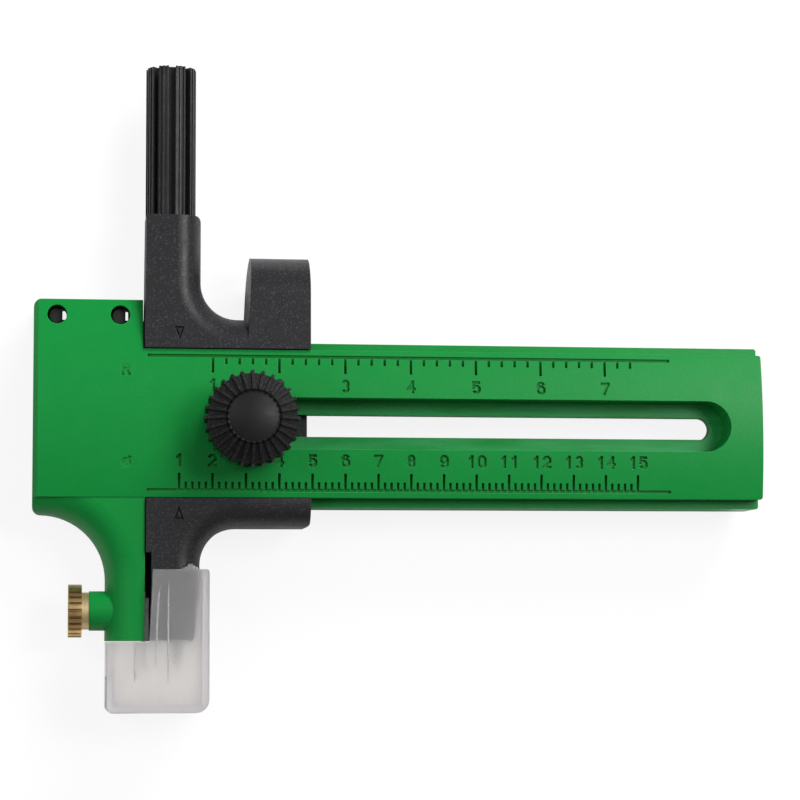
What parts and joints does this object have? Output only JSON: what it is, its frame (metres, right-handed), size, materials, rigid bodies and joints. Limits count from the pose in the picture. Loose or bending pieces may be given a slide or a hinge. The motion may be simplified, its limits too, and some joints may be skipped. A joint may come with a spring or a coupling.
{
  "type": "compass cutter",
  "caption": "Circle cutter with a slotted scale arm, a blade leg, a sliding needle leg with ribbed twirling grip, a clamp knob and a clear safety cap.",
  "frame": {"origin": "middle of the whole tool in X and Y, on the surface that its back rests on", "axes": "+X along the arm towards its free end, +Y towards the twirling grip, +Z out of the scale face"},
  "size_m": [0.1114, 0.0978, 0.0236],
  "materials": {
    "green_plastic": "satin moulded ABS with a fine grain",
    "black_plastic": "finely grained, satin",
    "knob_plastic": "moulded, slightly glossy",
    "blade_steel": "ground",
    "plated_steel": "zinc plated",
    "brass": "turned",
    "clear_plastic": "frosted translucent"
  },
  "bodies": {
    "arm": {"arm_body": "green_plastic", "spare_blades": "blade_steel", "cutting_blade": "blade_steel", "clamp_nut": "plated_steel"},
    "cover": {"storage_cover": "black_plastic"},
    "screw": {"clamp_screw": "brass", "clamp_collar": "brass"},
    "carriage": {"slider": "black_plastic", "grip_post": "black_plastic", "pivot_needle": "blade_steel", "lock_bolt": "plated_steel", "lock_washer": "plated_steel"},
    "knob": {"lock_knob": "knob_plastic", "knob_nut": "brass"},
    "cap": {"safety_cap": "clear_plastic"}
  },
  "joints": [
    {"name": "cover_release", "type": "slide", "parent": "arm", "child": "cover", "axis": [0, 0, -1], "range_m": [0, 0.012]},
    {"name": "screw_turn", "type": "hinge", "parent": "arm", "child": "screw", "pos_m": [-0.04929, -0.03372, 0.00715], "axis": [-1, 0, 0], "range_deg": [0, 720]},
    {"name": "radius_slide", "type": "slide", "parent": "arm", "child": "carriage", "axis": [1, 0, 0], "range_m": [0, 0.07]},
    {"name": "knob_turn", "type": "hinge", "parent": "carriage", "child": "knob", "pos_m": [-0.02368, -0.00573, 0.016], "axis": [0, 0, 1], "range_deg": [0, 360]},
    {"name": "cap_release", "type": "slide", "parent": "carriage", "child": "cap", "axis": [0, -1, 0], "range_m": [0, 0.02]}
  ]
}
